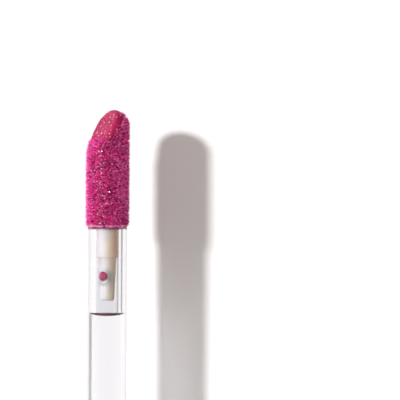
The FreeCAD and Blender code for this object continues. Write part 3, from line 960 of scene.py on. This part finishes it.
def make_vial():
    """Thick-walled clear square vial with a round cavity and a threaded neck."""
    stations = edge_stations(SHOULDER_Y, 1)
    stations += list(reversed(edge_stations(VIAL_END_Y, -1)))
    verts, faces = prism_mesh(stations)
    vial = add_piece("vial_body", verts, faces, "vial", [VIAL_CLEAR])
    face_outwards(vial)
    overlap = 1 * MM
    neck = rounded([(0, NECK_Y), (NECK_RADIUS, NECK_Y, 0.15 * MM),
                    (NECK_RADIUS, SHOULDER_Y + overlap), (0, SHOULDER_Y + overlap)])
    add_boolean(vial, loose_form("neck", *turned_mesh(neck)), "UNION")
    floor = VIAL_END_Y - BASE_THICKNESS
    cone_start_y, cone_end_y = SHOULDER_Y + 1.5 * MM, SHOULDER_Y + 3.5 * MM
    cavity = rounded([
        (0, NECK_Y - overlap),
        (NECK_BORE_RADIUS, NECK_Y - overlap),
        (NECK_BORE_RADIUS, cone_start_y, 0.3 * MM),
        (CAVITY_RADIUS, cone_end_y, 0.8 * MM),
        (CAVITY_RADIUS, floor, CAVITY_ROUND),
        (0, floor),
    ], steps=6)
    add_boolean(vial, loose_form("cavity", *turned_mesh(cavity)), "DIFFERENCE")
    add_boolean(vial, thread_form(), "UNION")
    smooth_piece(vial)
    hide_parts("vial")


def make_fill():
    """The gloss, pressed against the vial's wall, with the channel that the wand leaves."""
    press = 0.03 * MM
    reach = CAVITY_RADIUS + press
    floor = FILL_END_Y + press
    outline = rounded([
        (0, CHANNEL_END_Y),
        (CHANNEL_RADIUS, CHANNEL_END_Y, 1.5 * MM),
        (CHANNEL_RADIUS, FILL_Y, 0.4 * MM),
        (reach, FILL_Y),
        (reach, floor, CAVITY_ROUND),
        (0, floor),
    ], steps=6)
    fill = add_turned("gloss_column", outline, "vial", [GEL])
    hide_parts("gloss_fill")
    rng = np.random.default_rng(11)
    count, top_margin, clear_of_gel, smallest, largest = 9000, 0.3 * MM, 0.01 * MM, 0.03, 0.07
    angle = rng.uniform(0, 2 * math.pi, count)
    normals = np.stack([np.sin(angle), np.zeros(count), np.cos(angle)], axis=1)
    along = rng.uniform(FILL_Y + top_margin, FILL_END_Y - CAVITY_ROUND, count)
    points = normals * (reach + clear_of_gel) + np.stack(
        [np.zeros(count), along, np.full(count, AXIS_Z)], axis=1)
    sizes = rng.uniform(smallest, largest, count) * MM
    add_flakes("gloss_glitter", points, normals, sizes, 0.12, "vial", rng)


def make_wiper():
    """Soft funnel in the vial's neck."""
    lip_wall, lip_length, funnel_length, mouth_flare = 0.75 * MM, 0.6 * MM, 3.0 * MM, 0.2 * MM
    funnel_y = WIPER_END_Y - funnel_length
    outline = rounded([
        (WIPER_BORE_RADIUS + mouth_flare, WIPER_TOP_Y, 0.2 * MM),
        (WIPER_RADIUS, WIPER_TOP_Y, 0.2 * MM),
        (WIPER_RADIUS, NECK_Y, 0.1 * MM),
        (SLEEVE_RADIUS, NECK_Y),
        (SLEEVE_RADIUS, funnel_y, 0.4 * MM),
        (ORIFICE_RADIUS + lip_wall, WIPER_END_Y, 0.15 * MM),
        (ORIFICE_RADIUS, WIPER_END_Y, 0.1 * MM),
        (ORIFICE_RADIUS, WIPER_END_Y - lip_length, 0.1 * MM),
        (WIPER_BORE_RADIUS, funnel_y - lip_length, 0.4 * MM),
    ])
    wiper = add_turned("wiper_funnel", outline, "vial", [WIPER_PLASTIC], closed=True)
    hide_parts("wiper")


# ---------------------------------------------------------------------------------------------- cap

def make_shell():
    """Outer cap: a polished square cup."""
    lip, steps = 0.25 * MM, 4
    quarter = [math.pi / 2 * step / steps for step in range(steps + 1)]
    stations = edge_stations(CAP_END_Y, 1)
    for angle in quarter:
        stations.append((CAP_MOUTH_Y - lip + lip * math.sin(angle), lip * (1 - math.cos(angle))))
    for angle in quarter:
        stations.append((CAP_MOUTH_Y - lip * (1 - math.cos(angle)),
                         SHELL_WALL - lip + lip * math.sin(angle)))
    stations.append((CAP_END_Y + SHELL_END, SHELL_WALL))
    verts, faces = prism_mesh(stations)
    shell = add_piece("shell", verts, faces, "cap", [PEARL])
    face_outwards(shell)
    smooth_piece(shell, crease=50.0)
    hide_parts("cap_shell")


def make_washer():
    """Soft washer on the wand."""
    near, far = low("seal_washer")[1], high("seal_washer")[1]
    soft = 0.2 * MM
    outline = rounded([(WASHER_HOLE_RADIUS, near, soft), (WASHER_RADIUS, near, soft),
                       (WASHER_RADIUS, far, soft), (WASHER_HOLE_RADIUS, far, soft)])
    washer = add_turned("washer", outline, "seal_washer", [FOAM], closed=True)
    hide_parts("seal_washer")


def finish_cad_nodes():
    """Materials for the CAD nodes that stay as they are."""
    for name, material in (("inner_cap", LINER), ("cap_weight", STEEL)):
        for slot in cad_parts[name].material_slots:
            slot.material = material


# ------------------------------------------------------------------------- floor, lights and camera

def make_floor():
    """A wide plain pale floor that the tube lies on."""
    half_width = 1.5
    corners = [(across * half_width, along * half_width, 0)
               for across, along in ((-1, -1), (1, -1), (1, 1), (-1, 1))]
    mesh = bpy.data.meshes.new("floor")
    mesh.from_pydata(corners, [], [(0, 1, 2, 3)])
    floor = bpy.data.objects.new("floor", mesh)
    bpy.context.scene.collection.objects.link(floor)
    material, tree = new_material("floor_white")
    finish_material(tree, add_node(tree, "BsdfPrincipled", {
        "Base Color": ramp(tree, noise(tree, 8.0), [(0.0, grey(0.86)), (1.0, grey(0.88))]),
        "Roughness": 0.6,
    }))
    mesh.materials.append(material)


def make_lights():
    """A pale warm surround for fill and one soft key from the left."""
    world = bpy.data.worlds.new("studio")
    bpy.context.scene.world = world
    world.use_nodes = True
    warm_white, fill_strength = (1.0, 0.925, 0.89, 1.0), 0.50
    background = world.node_tree.nodes["Background"]
    background.inputs["Color"].default_value = warm_white
    background.inputs["Strength"].default_value = fill_strength
    key = bpy.data.lights.new("key", "SUN")
    key.energy = 3.5
    key.angle = math.radians(5.0)
    key_object = bpy.data.objects.new("key", key)
    bpy.context.scene.collection.objects.link(key_object)
    travel = Vector((0.89, -0.25, -1.0))
    key_object.rotation_euler = travel.to_track_quat("-Z", "Y").to_euler()


def make_camera():
    """Straight down on the wand's end, with the wand left of the middle."""
    camera = bpy.data.cameras.new("camera")
    camera.lens = 200.0
    camera.sensor_width = 36.0
    camera.clip_start = 0.01
    view_width, aside, below_tip, roll = 47.7 * MM, 11.02 * MM, 10.68 * MM, math.radians(0.27)
    distance = view_width * camera.lens / camera.sensor_width
    camera_object = bpy.data.objects.new("camera", camera)
    camera_object.location = (aside, TIP_Y - below_tip, AXIS_Z + distance)
    camera_object.rotation_euler = (0, 0, roll)
    bpy.context.scene.collection.objects.link(camera_object)
    bpy.context.scene.camera = camera_object
    bpy.context.scene.view_settings.view_transform = "Standard"


make_camera()
make_lights()
make_floor()
make_stem()
make_plug()
make_bead()
make_hole_lip()
make_bore_gloss()
make_tip()
make_vial()
make_fill()
make_wiper()
make_shell()
make_washer()
finish_cad_nodes()
